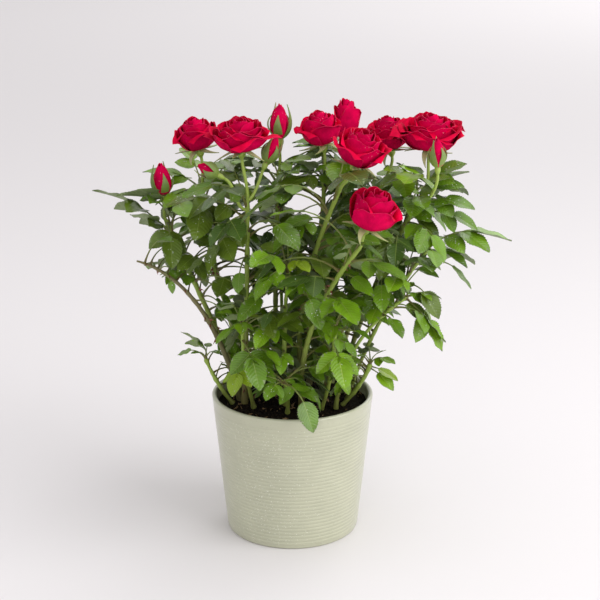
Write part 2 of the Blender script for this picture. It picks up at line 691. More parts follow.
def reaching(root, tip, size, droop):
    """The leaf whose end leaflet ends at a given tip: the stalk's length follows from the distance, and its
    slope from the chord."""
    x, y, height = tip - root
    level = math.hypot(x, y)
    distance = math.hypot(level, height)
    arc_x, arc_z = math.sin(droop) / droop, -(1 - math.cos(droop)) / droop
    dip = droop + LEAFLET_DIP + LEAFLET_SAG
    blade_x, blade_z = math.cos(dip) * size, -math.sin(dip) * size
    a, b, c = arc_x**2 + arc_z**2, arc_x * blade_x + arc_z * blade_z, size**2 - distance**2
    length = max(8, (-b + math.sqrt(max(0, b * b - a * c))) / a)
    chord = math.atan2(length * arc_z + blade_z, length * arc_x + blade_x)
    return {"azimuth": math.atan2(y, x), "rise": math.atan2(height, level) - chord, "length": length}


def reaching_ways(root, tip, size, roll):
    """Ways for a leaf to reach a tip, one for each droop."""
    same = {"root": root, "size": size, "roll": roll, "count": 5}
    return [{**same, "droop": droop, **reaching(root, np.array(tip), size, droop)} for droop in REACH_DROOPS]


def free_ways(stem, root, share, order, random):
    """Ways for a leaf to stand free, by its order up the stem: it turns aside or shrinks until it fits."""
    azimuth = stem["seed"] * 1.7 + order * GOLDEN_ANGLE + 0.3 * random()
    lift = max(0, share - UPPER) / (1 - UPPER)
    same = {"root": root, "rise": 0.5 + 0.75 * lift + 0.3 * random(), "droop": 1.15 + 0.3 * random()}
    size = stem["size"] * (1 + 0.14 * random())
    length = size * STALK_LENGTH * (1 + 0.15 * random())
    same.update(roll=0.35 * random(), count=3 if share > THREE_LEAFLETS_ABOVE else 5)
    return [
        {**same, "azimuth": azimuth + turn, "length": length * scale, "size": size * scale}
        for scale in SCALES
        for turn in TURNS
    ]


def leaf_requests(stem):
    """The leaves that a stem asks for, in order up the stem, each with the ways it may be turned to find
    room. Each one's share is pushed a step past the one below it, and then back under the stem's head."""
    seed, bare, count = stem["seed"], stem["bare"], stem["leaves"]
    asked = []
    for i, (share, *tip) in enumerate(stem["reach"]):
        asked.append({"share": share, "tip": tip, "random": stream(seed * 977 + i * 131 + 7)})
    low = max(bare, SHOOT_BARE)
    for i in range(count):
        share = low + (LAST_LEAF - low) * ((i + 0.5) / count)
        asked.append({"share": share, "order": i, "random": stream(seed * 1009 + i * 211 + 3)})
    asked.sort(key=lambda one: one["share"])
    step = NODE_STEP / stem["length"]
    floor = bare + step * 0.6
    for one in asked:
        one["share"] = max(one["share"], floor)
        floor = one["share"] + step
    ceiling = 1 - step * 0.6
    for one in reversed(asked):
        one["share"] = min(one["share"], ceiling)
        ceiling = one["share"] - step
    for one in asked:
        root = bezier(stem["corners"], one["share"])[0]
        if "tip" in one:
            *tip, size = one["tip"]
            one["ways"] = reaching_ways(root, tip, size, 0.25 * one["random"]())
        else:
            one["ways"] = free_ways(stem, root, one["share"], one["order"], one["random"])
    return asked


print("leaves asked for", sum(len(leaf_requests(stem)) for stem in STEMS.values()))


# %% The leaves of the solids
FINER_CANE = 0.95
FINER_SHOOT = 0.84
FULL_SIZE = ["low_left", "low_right", "right_wing", "right_side", "back_left", "back_middle", "back_right"]
SAME_PLACE = 0.05


def solid_points(name):
    """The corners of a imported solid, in millimetres."""
    points = np.empty(len(NODES[name].data.vertices) * 3)
    NODES[name].data.vertices.foreach_get("co", points)
    place = np.array(NODES[name].matrix_world)
    return (points.reshape(-1, 3) @ place[:3, :3].T + place[:3, 3]) / MM


def in_solid(one, corners):
    """A leaflet grew in the solid too, when the solid has its tip and its left corner."""
    wanted = (on_leaflet(one, 1, 0, -0.05), on_leaflet(one, LEAF_BELLY, -LEAF_WIDTH / 2, 0.04))
    return all(np.linalg.norm(corners - point, axis=1).min() < SAME_PLACE for point in wanted)


def with_size(one, scale):
    """The same leaflet, its length scaled."""
    return {**one, "length": one["length"] * scale}


grown = []
for name, stem in STEMS.items():
    corners = solid_points("foliage_" + name)
    finer = FINER_CANE if name in CANES or name in FULL_SIZE else FINER_SHOOT
    for asked in leaf_requests(stem):
        ways = [way for way in asked["ways"] if in_solid(leaflets_of(way)[0], corners)]
        if ways:
            first, *others = leaflets_of(ways[0])
            kept = [first] + [one for one in others if in_solid(one, corners)]
            kept = [with_size(one, finer) for one in kept]
            grown.append({"stem": name, "share": asked["share"], "way": ways[0], "leaflets": kept})
print("leaves", len(grown), "leaflets", sum(len(leaf["leaflets"]) for leaf in grown))

# %% [markdown]
# ## Where the flowers stand
# Leaves must not hide or touch a flower, so the flowers' places come before the finer leaves. Each row
# holds the stem a flower grows on and the share of the way up it, the flower's base, the way it faces, its
# width and height, and how far it is open, from 0 for a tight bud to 1 for a full bloom.

# %% Flowers
FLOWER_FIELDS = ("on", "at", "base", "facing", "width", "height", "open")
FLOWERS = {
    "rose_left_front": ("left_front", 1, (-39, -26, 322), (-0.06, -0.14, 1), 50, 25, 1),
    "rose_left_back": ("left_back", 1, (-74, 20, 314), (-0.2, -0.1, 1), 38, 26, 0.85),
    "rose_middle": ("middle", 1, (26, 10, 320), (-0.16, -0.12, 1), 37, 27, 0.8),
    "rose_tall": ("tall", 1, (44, 37, 318), (0, 0.05, 1), 25, 33, 0.45),
    "rose_middle_front": ("middle_front", 1, (47, -37, 314), (0.3, -0.22, 1), 45, 28, 0.8),
    "rose_back": ("back", 1, (82, 32, 312), (-0.2, -0.05, 1), 42, 27, 0.95),
    "rose_right": ("right", 1, (109, 0, 318), (0.04, -0.12, 1), 55, 28, 1),
    "rose_front": ("front", 1, (55, -70, 272), (0.3, -0.26, 1), 42, 31, 0.66),
    "bud_left": ("bud_left", 1, (-104, 5, 279), (-0.05, -0.05, 1), 17, 26, 0.2),
    "bud_middle": ("bud_middle", 1, (-10, 15, 323), (0, 0, 1), 18, 28, 0.2),
    "bud_centre": ("left_front", 0.975, (-23, -14, 310), (0.42, -0.02, 1), 13, 22, 0.1),
    "bud_side": ("left_front", 0.93, (-52, -36, 308), (-1, -0.3, 0.62), 12, 17, 0),
    "bud_right": ("right", 0.92, (113, -37, 311), (-0.05, -0.1, 1), 13, 22, 0.15),
}
FLOWERS = {name: dict(zip(FLOWER_FIELDS, row)) for name, row in FLOWERS.items()}
HIP_LENGTH = 8
FLOWER_ROOM = 1.5


def flower_axes(plan):
    """A flower's axis and the two directions across it."""
    axis = unit(plan["facing"])
    across = unit(np.array([1.0, 0, 0]) - axis * axis[0])
    return axis, across, np.cross(axis, across)


bloom_centres = np.array([
    np.array(plan["base"]) + flower_axes(plan)[0] * (HIP_LENGTH + plan["height"] / 2)
    for plan in FLOWERS.values()
])
bloom_radii = np.array([max(plan["width"], plan["height"]) / 2 + FLOWER_ROOM for plan in FLOWERS.values()])
print("flowers", len(FLOWERS))

# %% [markdown]
# ## Finer growth
# The solids keep only leaves that stand clear of each other. The living plant is fuller: small leaflets
# fill the places that were left, a few more leaves reach for places of their own, short side twigs with
# small leaves grow between the big ones, and a tuft of young leaves tops each shoot. All follow the same
# rule at a smaller size. A new leaflet is kept only where it has room, where it stays inside the crown,
# where it leaves open the gaps that one can see through, and where it hides no flower. The test is a
# handful of marks spread over each blade.

# %% The crown's shape and its openings
CROWN_LOW = np.array([-5, 4])
CROWN_HIGH = np.array([12, 10])
CROWN_FOOT = 60
CROWN_BELLY = 132
BELLY_HEIGHT = 236
CROWN_TOP = 330
EYE_PLACE = np.array([6, -1100, 534])
GAPS = np.array([
    (11, 283, 11, 9), (-17, 308, 4, 6), (-23, 259, 6, 5), (-9, 197, 7, 6), (-76, 241, 7, 5),
    (-50, 226, 10, 4), (-57, 173, 4, 6), (40, 213, 3, 6), (68, 217, 3, 8), (74, 166, 10, 15),
    (-72, 203, 9, 9), (-23, 192, 10, 9), (-40, 186, 5, 5), (-43, 214, 7, 9), (-83, 226, 6, 7),
    (-65, 231, 8, 7), (-86, 205, 8, 8), (120, 256, 7, 7), (93, 268, 6, 8), (14, 271, 10, 7),
    (62, 170, 9, 9), (-44, 107, 13, 8), (-19, 107, 8, 8), (34, 106, 10, 6), (54, 112, 7, 8),
    (-99, 209, 6, 8), (-47, 206, 7, 9), (19, 282, 7, 12), (-111, 242, 6, 6), (-45, 234, 6, 9),
    (-71, 143, 8, 12), (128, 222, 5, 8), (117, 196, 5, 9), (-97, 262, 6, 6), (92, 168, 5, 8),
    (104, 213, 9, 6), (-111, 277, 6, 5), (-27, 187, 10, 4), (-63, 217, 5, 5), (47, 170, 5, 4),
    (-63, 168, 4, 5),
])


def inside_crown(points):
    """The crown is narrow above the pot, widens to its belly and leans a little to the right."""
    share = np.clip((points[:, 2] - SOIL_LEVEL) / (BELLY_HEIGHT - SOIL_LEVEL), 0, 1)[:, None]
    radius = CROWN_FOOT + (CROWN_BELLY - CROWN_FOOT) * share[:, 0] ** 2
    away = np.linalg.norm(points[:, :2] - (CROWN_LOW * (1 - share) + CROWN_HIGH * share), axis=1)
    return (away < radius) & (points[:, 2] < CROWN_TOP)


def seen_from_eye(points):
    """Where the line from the eye through each point crosses the plane y = 0: its x and z there."""
    back = -EYE_PLACE[1] / (points[:, 1] - EYE_PLACE[1])
    return (EYE_PLACE + (points - EYE_PLACE) * back[:, None])[:, [0, 2]]


def in_gap(points):
    """Which points the eye sees inside an opening, an ellipse of x, z and half its width and height."""
    away = (seen_from_eye(points)[:, None] - GAPS[:, :2]) / GAPS[:, 2:]
    return (np.linalg.norm(away, axis=-1) < 1).any(axis=1)


print("openings", len(GAPS))

# %% What the eye must see
OPEN_STEMS = ["stub", "left_front", "middle_front", "front"]
OPEN_WOOD_WIDTH = 4.0
BLOOM_SHARE = 0.9
MARK_U, MARK_V = (grid.ravel() for grid in np.meshgrid([0.15, 0.4, 0.65, 0.9], [-0.22, 0, 0.22]))
RIB_MARK = 4

blooms_seen = seen_from_eye(bloom_centres)
open_shares = np.linspace(0.1, 0.99, 50)
open_wood = np.concatenate([bezier(STEMS[name]["corners"], open_shares) for name in OPEN_STEMS])
wood_seen = seen_from_eye(open_wood)


def marks_of(one):
    """Twelve points spread over a leaflet's blade, and its tip."""
    u, v = np.append(MARK_U, 1)[:, None], np.append(MARK_V * (1.2 - MARK_U), 0)[:, None]
    across = np.cross(one["along"], one["normal"])
    return one["base"] + one["length"] * (u * one["along"] + v * across)


def hides(tried, seen, depth, reach):
    """Whether marks hide one of several things from the eye: they are nearer, and seen within its reach."""
    apart = np.linalg.norm(seen_from_eye(tried)[:, None] - seen, axis=-1)
    return ((apart < reach) & (tried[:, 1].mean() < depth)).any()


print("marks a leaflet", len(MARK_U) + 1)

# %% Room in the crown
FAR = 5


class Crown:
    """The room in the crown: the marks of all leaflets so far, and the number of the leaf that owns each
    mark."""

    def __init__(self, leaves):
        self.marks = np.empty((0, 3))
        self.owners = np.empty(0, int)
        for own, leaf in enumerate(leaves):
            self.claim(leaf["leaflets"], own)

    def claim(self, leaflets, own):
        """Notes new leaflets' marks, so that the next ones keep clear of them."""
        for one in leaflets:
            fresh = marks_of(one)
            self.marks = np.concatenate([self.marks, fresh])
            self.owners = np.concatenate([self.owners, np.full(len(fresh), own)])

    def clearance(self, one):
        """How far a leaflet's marks stay from all others, in millimetres. Past a few it is far enough."""
        tried = marks_of(one)
        close = self.marks[np.abs(self.marks - tried[RIB_MARK]).max(axis=1) < one["length"] + FAR]
        return min(FAR, np.linalg.norm(tried[:, None] - close, axis=-1).min()) if len(close) else FAR

    def has_room(self, one, own, near):
        """Whether a leaflet fits, by its marks: in the crown, in no gap, before no flower or open cane, and
        clear of flowers and of other leaves."""
        tried = marks_of(one)
        if not inside_crown(tried).all() or in_gap(tried).any():
            return False
        if (np.linalg.norm(tried[:, None] - bloom_centres, axis=-1) < bloom_radii).any():
            return False
        if hides(tried, blooms_seen, bloom_centres[:, 1], bloom_radii * BLOOM_SHARE):
            return False
        if hides(tried, wood_seen, open_wood[:, 1], OPEN_WOOD_WIDTH):
            return False
        close = np.abs(self.marks - tried[RIB_MARK]).max(axis=1) < one["length"] * 0.8 + near
        close &= self.owners != own
        return not close.any() or np.linalg.norm(tried[:, None] - self.marks[close], axis=-1).min() > near


print("room is far from", FAR, "mm on")

# %% Leaflets that stand in an opening, and leaflets that fill up a leaf
SHORTER = 0.8
SHORTEST = 0.62
MOSTLY_HIDDEN = 0.5
LEFT_OUT = 0.3
NEAR_LEAFLET = 2.8
FILL_SIZES = (0.9, 0.75, 0.6)

for leaf in grown:
    first, *others = leaf["leaflets"]
    hidden = in_gap(marks_of(first)).mean()
    if hidden > 0:
        first = with_size(first, SHORTER if hidden < MOSTLY_HIDDEN else SHORTEST)
    leaf["leaflets"] = [first] + [one for one in others if in_gap(marks_of(one)).mean() < LEFT_OUT]

crown = Crown(grown)
filled = 0
for own, leaf in enumerate(grown):
    there = [(one["base"], one["along"]) for one in leaf["leaflets"]]
    for one in leaflets_of(leaf["way"])[1:]:
        if any(np.allclose(one["base"], base) and one["along"] @ along > 0.99 for base, along in there):
            continue
        fitting = (with_size(one, scale) for scale in FILL_SIZES)
        smaller = next((tried for tried in fitting if crown.has_room(tried, own, NEAR_LEAFLET)), None)
        if smaller:
            leaf["leaflets"].append(smaller)
            crown.claim([smaller], own)
            filled += 1
print("leaflets added to leaves", filled)

# %% [markdown]
# ## Leaves that reach
# Some leaves shape the outline of the crown or stand before its openings, and they are placed one by one:
# the stem, the share of the way up it, the place of the leaf's tip and its size. Of the droops that bring
# the tip there, the one that keeps its leaflet clearest of the others is taken.

# %% Leaves that reach
FINE_REACH = [
    ("bud_middle", 0.97, 14, -4, 318, 24), ("bud_middle", 0.93, 4, -18, 311, 27),
    ("middle", 0.95, 2, -6, 317, 24), ("bud_middle", 0.95, -42, 4, 306, 26),
    ("right", 0.98, 140, 4, 313, 26), ("right", 0.96, 124, -16, 306, 23),
    ("right", 0.9, 147, -6, 277, 25), ("right", 0.86, 150, -4, 259, 24),
    ("right", 0.82, 126, -12, 282, 24), ("right_side", 0.98, 123, -28, 164, 28),
    ("right_side", 0.95, 121, -18, 200, 25), ("right_side", 0.9, 110, -26, 188, 25),
    ("right_wing", 0.7, 118, -30, 192, 25), ("low_left", 0.95, -91, -14, 176, 20),
    ("bud_left", 0.92, -140, -12, 291, 28), ("bud_left", 0.88, -128, -16, 277, 26),
    ("bud_left", 0.95, -122, -20, 297, 22), ("low_right", 0.9, 82, -38, 134, 19),
]

twigs = []
for i, (name, share, *tip, size) in enumerate(FINE_REACH):
    random = stream(4001 + i * 17)
    ways = reaching_ways(bezier(STEMS[name]["corners"], share)[0], tip, size, 0.5 * random())
    way = max(ways, key=lambda one: crown.clearance(leaflets_of(one)[0]))
    first, *others = leaflets_of(way)
    kept = [first] + [one for one in others if crown.clearance(one) > 2 and not in_gap(marks_of(one)).any()]
    crown.claim(kept, len(grown) + len(twigs))
    twigs.append({"stem": name, "share": share, "way": way, "leaflets": kept})
print("leaves that reach", len(twigs))

# %% [markdown]
# ## Side twigs and growing tips
# A side twig is tried at even steps up every stem. It is turned aside, made longer and then smaller until
# at least its end leaflet and one more have room, and otherwise it is left out. A shoot's growing tip
# carries a tuft of young leaves, each smaller and steeper than the last.

# %% Side twigs
TWIGS_A_STEM = 12
TWIG_LOW = 0.26
TWIG_HIGH = 0.98
TWIG_SIZE = 0.7
TWIG_SCALES = (1, 0.75)
TWIG_STALKS = (1.5, 2.3)
NEAR_TWIG = 3.0

for name, stem in STEMS.items():
    random = stream(stem["seed"] * 1511 + 11)
    for i in range(TWIGS_A_STEM):
        share = TWIG_LOW + (TWIG_HIGH - TWIG_LOW) * ((i + 0.5 + 0.3 * random()) / TWIGS_A_STEM)
        azimuth = stem["seed"] * 2.3 + i * GOLDEN_ANGLE + 0.3 * random()
        lift = max(0, share - UPPER) / (1 - UPPER)
        same = {"root": bezier(stem["corners"], share)[0], "rise": 0.55 + 0.7 * lift + 0.3 * random()}
        same.update(droop=1.0 + 0.4 * random(), roll=0.35 * random(), count=5)
        twig_size = stem["size"] * TWIG_SIZE * (1 + 0.2 * random())
        own = len(grown) + len(twigs)
        for scale, longer, turn in [(s, r, t) for s in TWIG_SCALES for r in TWIG_STALKS for t in TURNS]:
            size = twig_size * scale
            way = {**same, "azimuth": azimuth + turn, "size": size, "length": size * longer}
            tried = leaflets_of(way)
            kept = [one for one in tried if crown.has_room(one, own, NEAR_TWIG)]
            if len(kept) >= 2 and kept[0] is tried[0]:
                crown.claim(kept, own)
                twigs.append({"stem": name, "share": share, "way": way, "leaflets": kept})
                break
print("twigs", len(twigs), "leaflets on them", sum(len(leaf["leaflets"]) for leaf in twigs))

# %% Growing tips
TIP_LEAVES = 4
TIP_SIZE = 15
TIP_SHARE = 0.985

tips = []
for name in SHOOTS:
    stem = STEMS[name]
    random = stream(stem["seed"] * 613 + 5)
    root = bezier(stem["corners"], TIP_SHARE)[0]
    along = heading_at(stem["corners"], 1)[0]
    lean = math.atan2(along[2], math.hypot(along[0], along[1]))
    for i in range(TIP_LEAVES):
        size = TIP_SIZE * (1 - 0.13 * i) * (1 + 0.15 * random())
        rise = lean * 0.45 + 0.3 + 0.2 * i + 0.2 * random()
        way = {"root": root, "rise": rise, "droop": 0.8 + 0.3 * random(), "roll": 0.3 * random(), "count": 5}
        way.update(azimuth=math.atan2(along[1], along[0]) + i * GOLDEN_ANGLE, size=size, length=size * 1.1)
        tips.append({"stem": name, "share": TIP_SHARE, "way": way, "leaflets": leaflets_of(way)[:3]})
print("young leaves at the shoots' tips", len(tips))
MAIN_LEAVES = len(grown)
grown += twigs + tips

# %% [markdown]
# ## Leaf greens
# Rose leaves are satin: dark green above with soft creases along their side veins, a pale yellow-green
# midrib, and a matt grey-green underside. Young sprays are lighter, and a few low ones nearly lime. Each
# spray gets one of six plain greens, and in every green slow clouds and the side veins break up the
# surface. The veins are a pattern on the leaflet's own flat map: slanted lines, mirrored at the midrib.

# %% Leaf greens
LEAF_GREENS = {
    "leaf_dark": (0.052, 0.107, 0.011, 1),
    "leaf_olive": (0.098, 0.160, 0.009, 1),
    "leaf_mid": (0.099, 0.203, 0.006, 1),
    "leaf_fresh": (0.142, 0.286, 0.006, 1),
    "leaf_bright": (0.170, 0.325, 0.007, 1),
    "leaf_lime": (0.24, 0.37, 0.008, 1),
}
LEAF_RIBS = {"leaf_rib": (0.22, 0.30, 0.06, 1), "leaf_rib_young": (0.36, 0.46, 0.08, 1)}
LEAF_UNDERSIDES = {
    "leaf_underside": ((0.20, 0.26, 0.11, 1), 0.6, 1.15),
    "leaf_underside_young": ((0.30, 0.40, 0.06, 1), 0.55, 1.12),
}
VEINS = 9.0
VEIN_RELIEF = 0.00019
UNDER_RELIEF = -0.0002


def vein_zigzag(material):
    """0 in a side vein and 1 midway between two: the place along the leaflet, less a part that grows with
    the distance from the midrib and with its square, so that veins bend forward, folded into a zigzag."""
    flat = node(material, "TexCoord", {}, output=2)
    x = node(material, "SeparateXYZ", {0: flat})
    y = node(material, "SeparateXYZ", {0: flat}, output=1)
    from_rib = math_node(material, "ABSOLUTE", x)
    lead = math_node(material, "MULTIPLY_ADD", from_rib, -1.6, -0.5)
    slanted = math_node(material, "MULTIPLY_ADD", from_rib, lead, y)
    zigzag = math_node(material, "PINGPONG", math_node(material, "MULTIPLY", slanted, VEINS), 0.5)
    return math_node(material, "MULTIPLY", zigzag, 2)


def leaf_finish(name, colour, roughness, gloss, vein_tint, relief):
    """A leaf surface: one green with clouds, veins a little lighter, and between them the blade swells like
    pillows under a fine crinkle."""
    made = finish_of(name, Roughness=roughness, Coat_Weight=gloss, Coat_Roughness=0.22)
    zigzag = vein_zigzag(made)
    veins = ramp(made, zigzag, 0.02, 0.2)
    pillow = math_node(made, "POWER", zigzag, 0.55)
    clouds = ramp(made, noise(made, 75, 4), 0.3, 0.7)
    blade = mix_colour(made, clouds, shaded(colour, 0.72), shaded(colour, 1.24))
    plug(made, Base_Color=mix_colour(made, veins, shaded(colour, vein_tint), blade))
    crinkle = math_node(made, "MULTIPLY_ADD", noise(made, 380, 3), 0.9, pillow)
    plug(made, Normal=bump(made, crinkle, relief, 0.8))
    return made


leaf_finishes = []
for name, colour in LEAF_GREENS.items():
    leaf_finishes.append(leaf_finish(name, colour, 0.33, 0.12, 1.13, VEIN_RELIEF))
for name, colour in LEAF_RIBS.items():
    leaf_finishes.append(mottled(name, 300, shaded(colour, 0.8), shaded(colour, 1.1), Roughness=0.45))
for name, (colour, roughness, tint) in LEAF_UNDERSIDES.items():
    leaf_finishes.append(leaf_finish(name, colour, roughness, 0.0, tint, UNDER_RELIEF))
print("leaf finishes", len(leaf_finishes))

# %% [markdown]
# ## Leaflets
# A rose leaflet is an oval blade with a saw-toothed edge, folded a little along its midrib, its tip
# hanging. One template of 106 points and 58 faces makes them all: eight rows, with two teeth between each
# two along both edges, a midrib in relief, and a lower side that closes it to a thin solid. Its shape comes
# from formulas in u, the way along the leaflet, and in the way across it, so a whole bush of leaflets is
# made in one step with no loop.

# %% The leaflet template: its columns of points
ROWS = np.array([0, 0.09, 0.21, 0.35, 0.5, 0.66, 0.83, 1])
TOOTH_PLACES = np.array([0, 0.37, 0.5, 0.87])

edge_u = np.append((ROWS[:-1, None] + TOOTH_PLACES * np.diff(ROWS)[:, None]).ravel(), 1)
edge_tooth = np.append(np.tile([0.0, 1.0, 0.0, 1.0], len(ROWS) - 1), 0)
edge_tooth[:3] = 0
column_u = [edge_u] * 2 + [ROWS] * 6
column_points = [len(u) for u in column_u]
leaf_u = np.concatenate(column_u)
leaf_side = np.repeat([-1, 1] * 4, column_points)
leaf_out = np.repeat([1, 1, 0.5, 0.5, 0, 0, 0, 0], column_points)
leaf_low = np.repeat([0, 0, 0, 0, 0, 0, 1, 1], column_points)
leaf_tooth = np.concatenate([edge_tooth, edge_tooth, np.zeros(len(leaf_u) - 2 * len(edge_u))])
EDGE_L, EDGE_R, HALF_L, HALF_R, TOP_L, TOP_R, LOW_L, LOW_R = np.cumsum([0] + column_points[:-1])
print("columns", len(column_u), "points", len(leaf_u))

# %% The leaflet template: its faces
i = np.arange(len(ROWS) - 1)
e = 4 * i
leaf_tops = [
    np.stack([HALF_R + i, *(EDGE_R + e + k for k in range(5)), HALF_R + i + 1], axis=1),
    np.stack([EDGE_L + e, HALF_L + i, HALF_L + i + 1, *(EDGE_L + e + k for k in range(4, 0, -1))], axis=1),
    np.stack([TOP_R + i, HALF_R + i, HALF_R + i + 1, TOP_R + i + 1], axis=1),
    np.stack([HALF_L + i, TOP_L + i, TOP_L + i + 1, HALF_L + i + 1], axis=1),
]
leaf_ribs = [
    np.stack([TOP_L + i, TOP_R + i, TOP_R + i + 1, TOP_L + i + 1], axis=1),
    np.stack([LOW_L + i, LOW_L + i + 1, LOW_R + i + 1, LOW_R + i], axis=1),
]
leaf_unders = [
    np.stack([LOW_R + i, LOW_R + i + 1, *(EDGE_R + e + k for k in range(4, -1, -1))], axis=1),
    np.stack([*(EDGE_L + e + k for k in range(5)), LOW_L + i + 1, LOW_L + i], axis=1),
]
loop = [(EDGE_R, 4), (HALF_R, 1), (TOP_R, 1), (TOP_L, 1), (HALF_L, 1), (EDGE_L, 4), (LOW_L, 1), (LOW_R, 1)]
leaf_ends = [
    np.array([[start for start, _ in loop]]),
    np.array([[start + step * (len(ROWS) - 1) for start, step in reversed(loop)]]),
]
LEAF_FACES = leaf_tops + leaf_ribs + leaf_unders + leaf_ends
print("leaflet template: points", len(leaf_u), "faces", sum(len(block) for block in LEAF_FACES))

# %% Leaflet shape
TOOTH_OUT = 0.046


def half_width(u):
    """Half the width of a leaflet as a share of its length, for one as wide as it is long: u to the power
    0.58 times 1 - u to the power 0.85, with narrow ends instead of sharp points."""
    oval = u**0.58 * (1 - u) ** 0.85 / 0.3787 / 2
    return oval + 0.05 * (1 - u) ** 8 + 0.012 * u**8


def shape_leaflets(base, along, normal, length, draws):
    """All leaflets at once, from draws of (n, 8) numbers between 0 and 1. In units of its length, a
    leaflet's surface folds up from the midrib, sags towards its tip by u squared, waves along its edge and
    bends to one side."""
    wide, fold, sag, wave, phase, bend, cup, _ = (draws[:, k, None] for k in range(8))
    u = leaf_u[None]
    half = (0.57 + 0.12 * wide) * half_width(u) + TOOTH_OUT * leaf_tooth * np.sqrt(np.maximum(1 - u, 0))
    rib = 0.011 - 0.009 * u
    out = np.where(leaf_out > 0, leaf_out * half, rib)
    y = leaf_side * out + (0.12 * bend - 0.06) * u**2
    z = (0.08 + 0.32 * fold) * out - (0.03 + 0.17 * sag) * u**2
    z = z - (0.1 + 0.35 * cup) * out**2
    ripple = np.sin(2 * np.pi * (u * 2.2 + phase) + leaf_side * 1.3)
    z = z + (0.006 + 0.022 * wave) * ripple * (leaf_out > 0.7)
    z = z - 0.006 * (leaf_out == 0) - leaf_low * (0.022 - 0.014 * u)
    across = np.cross(along, normal)
    place = u[..., None] * along[:, None] + y[..., None] * across[:, None] + z[..., None] * normal[:, None]
    uv = np.stack([np.broadcast_to(leaf_side * out, y.shape), np.broadcast_to(u, y.shape)], axis=-1)
    return base[:, None] + length[:, None, None] * place, uv


print("a leaflet is widest at", round(float(leaf_u[half_width(leaf_u).argmax()]), 2), "of its length")

# %% Sprays and their greens
BRIGHT, LIME, PALE = 4, 5, 8
RIB, UNDERSIDE = 6, 8
GREEN_STEPS = [0.14, 0.32, 0.58, 0.85, 1.3]
SMALL_LEAF = 22
NEAR_HEAD = 0.94
LOW_DOWN = 0.42
LIME_STEM, LIME_LEFT_OF, LIME_BELOW = "front_left", -38, 0.32
PALE_RIGHT_OF, PALE_CHANCE = 60, 0.12

# A number says how young a spray is: one drawn by chance, more near a stem's head, for a small leaf
# and low in the crown. The steps turn it into one of the greens, from dark to lime.
draw = np.random.default_rng(11)
for leaf in grown:
    middle = np.mean([one["base"] for one in leaf["leaflets"]], axis=0)
    height = (middle[2] - SOIL_LEVEL) / (CROWN_TOP - SOIL_LEVEL)
    small = leaf["way"]["size"] < SMALL_LEAF
    young = 0.3 * (leaf["share"] > NEAR_HEAD) + 0.2 * small + draw.normal(0.33, 0.22)
    young += 0.25 * (height < LOW_DOWN)
    if leaf["stem"] == LIME_STEM and middle[0] < LIME_LEFT_OF and height < LIME_BELOW:
        young = 2
    if leaf["stem"] == "drape":
        young = 0.4
    leaf["look"] = int(np.searchsorted(GREEN_STEPS, young))
    if small and middle[0] > PALE_RIGHT_OF and draw.uniform() < PALE_CHANCE:
        leaf["look"] = PALE
looks = [leaf["look"] for leaf in grown]
print("sprays by green", [looks.count(look) for look in range(len(LEAF_GREENS))], "pale", looks.count(PALE))

# %% Leaves
leaf_points = []
for piece_name, stems, fine in (
    ("leaves_of_canes", CANES, False),
    ("leaves_of_shoots", SHOOTS, False),
    ("fine_leaves_of_canes", CANES, True),
    ("fine_leaves_of_shoots", SHOOTS, True),
):
    chosen = [leaf for i, leaf in enumerate(grown) if leaf["stem"] in stems and (i >= MAIN_LEAVES) == fine]
    look = np.array([leaf["look"] for leaf in chosen for _ in leaf["leaflets"]])[:, None]
    chosen = [one for leaf in chosen for one in leaf["leaflets"]]
    shape = [np.array([one[key] for one in chosen]) for key in ("base", "along", "normal", "length")]
    points, uv = shape_leaflets(*shape, draw.uniform(size=(len(chosen), 8)))
    leaves = Bundle()
    rib = np.where(look == PALE, PALE, RIB + (look >= BRIGHT))
    under = UNDERSIDE + (look == LIME)
    leaves.add(points, LEAF_FACES, [look] * 4 + [rib] * 2 + [under] * 2 + [rib] * 2, uv)
    replaced = [] if fine else ["foliage_" + name for name in stems]
    leaves.piece(piece_name, leaf_finishes, "leaf", replaced, sharp=60)
    leaf_points.append(points)
leaf_points = np.concatenate(leaf_points)

# %% [markdown]
# ## Canes, shoots and leaf stalks
# A rose cane is smooth and green, browner and ringed low down, with a slight swelling at each leaf. Flower
# canes carry hooked reddish prickles. Each is a tube along the stem's curve, whose ring radii hold the
# swellings and a fine unevenness. Leaf stalks are thin tubes along each leaf's arc, thicker where they
# clasp the cane.

# %% Bark finishes


def along_map(material):
    """The second number of the flat map: the share of the way along a tube."""
    return node(material, "SeparateXYZ", {0: node(material, "TexCoord", {}, output=2)}, output=1)


def cane_finish(name, low, high, roughness):
    """Bark that changes colour from foot to head, mottled, with a little relief."""
    made = finish_of(name, Roughness=roughness)
    mottle = math_node(made, "MULTIPLY_ADD", noise(made, 160, 4), 0.5, -0.25)
    share = math_node(made, "ADD", along_map(made), mottle)
    plug(made, Base_Color=mix_colour(made, ramp(made, share, 0.02, 0.55), low, high))
    plug(made, Normal=bump(made, noise(made, 700, 4, stretch=(1, 1, 0.25)), 0.0004))
    return made


cane_bark = cane_finish("cane_bark", (0.16, 0.14, 0.045, 1), (0.26, 0.36, 0.05, 1), 0.5)
old_bark = cane_finish("old_bark", (0.13, 0.12, 0.045, 1), (0.17, 0.15, 0.06, 1), 0.6)
shoot_bark = cane_finish("shoot_bark", (0.17, 0.19, 0.04, 1), (0.28, 0.40, 0.055, 1), 0.48)
stalk_green = cane_finish("stalk_green", (0.13, 0.10, 0.03, 1), (0.17, 0.22, 0.045, 1), 0.5)
prickle_red = cane_finish("prickle_red", (0.16, 0.09, 0.035, 1), (0.22, 0.06, 0.03, 1), 0.4)
print("bark, stalk and prickle finishes ready")

# %% Canes and shoots
STEM_ROWS = 56
STEM_SIDES = 10
SWELLING = 0.35
SWELLING_LENGTH = 2.4
STEM_RELIEF = 0.05


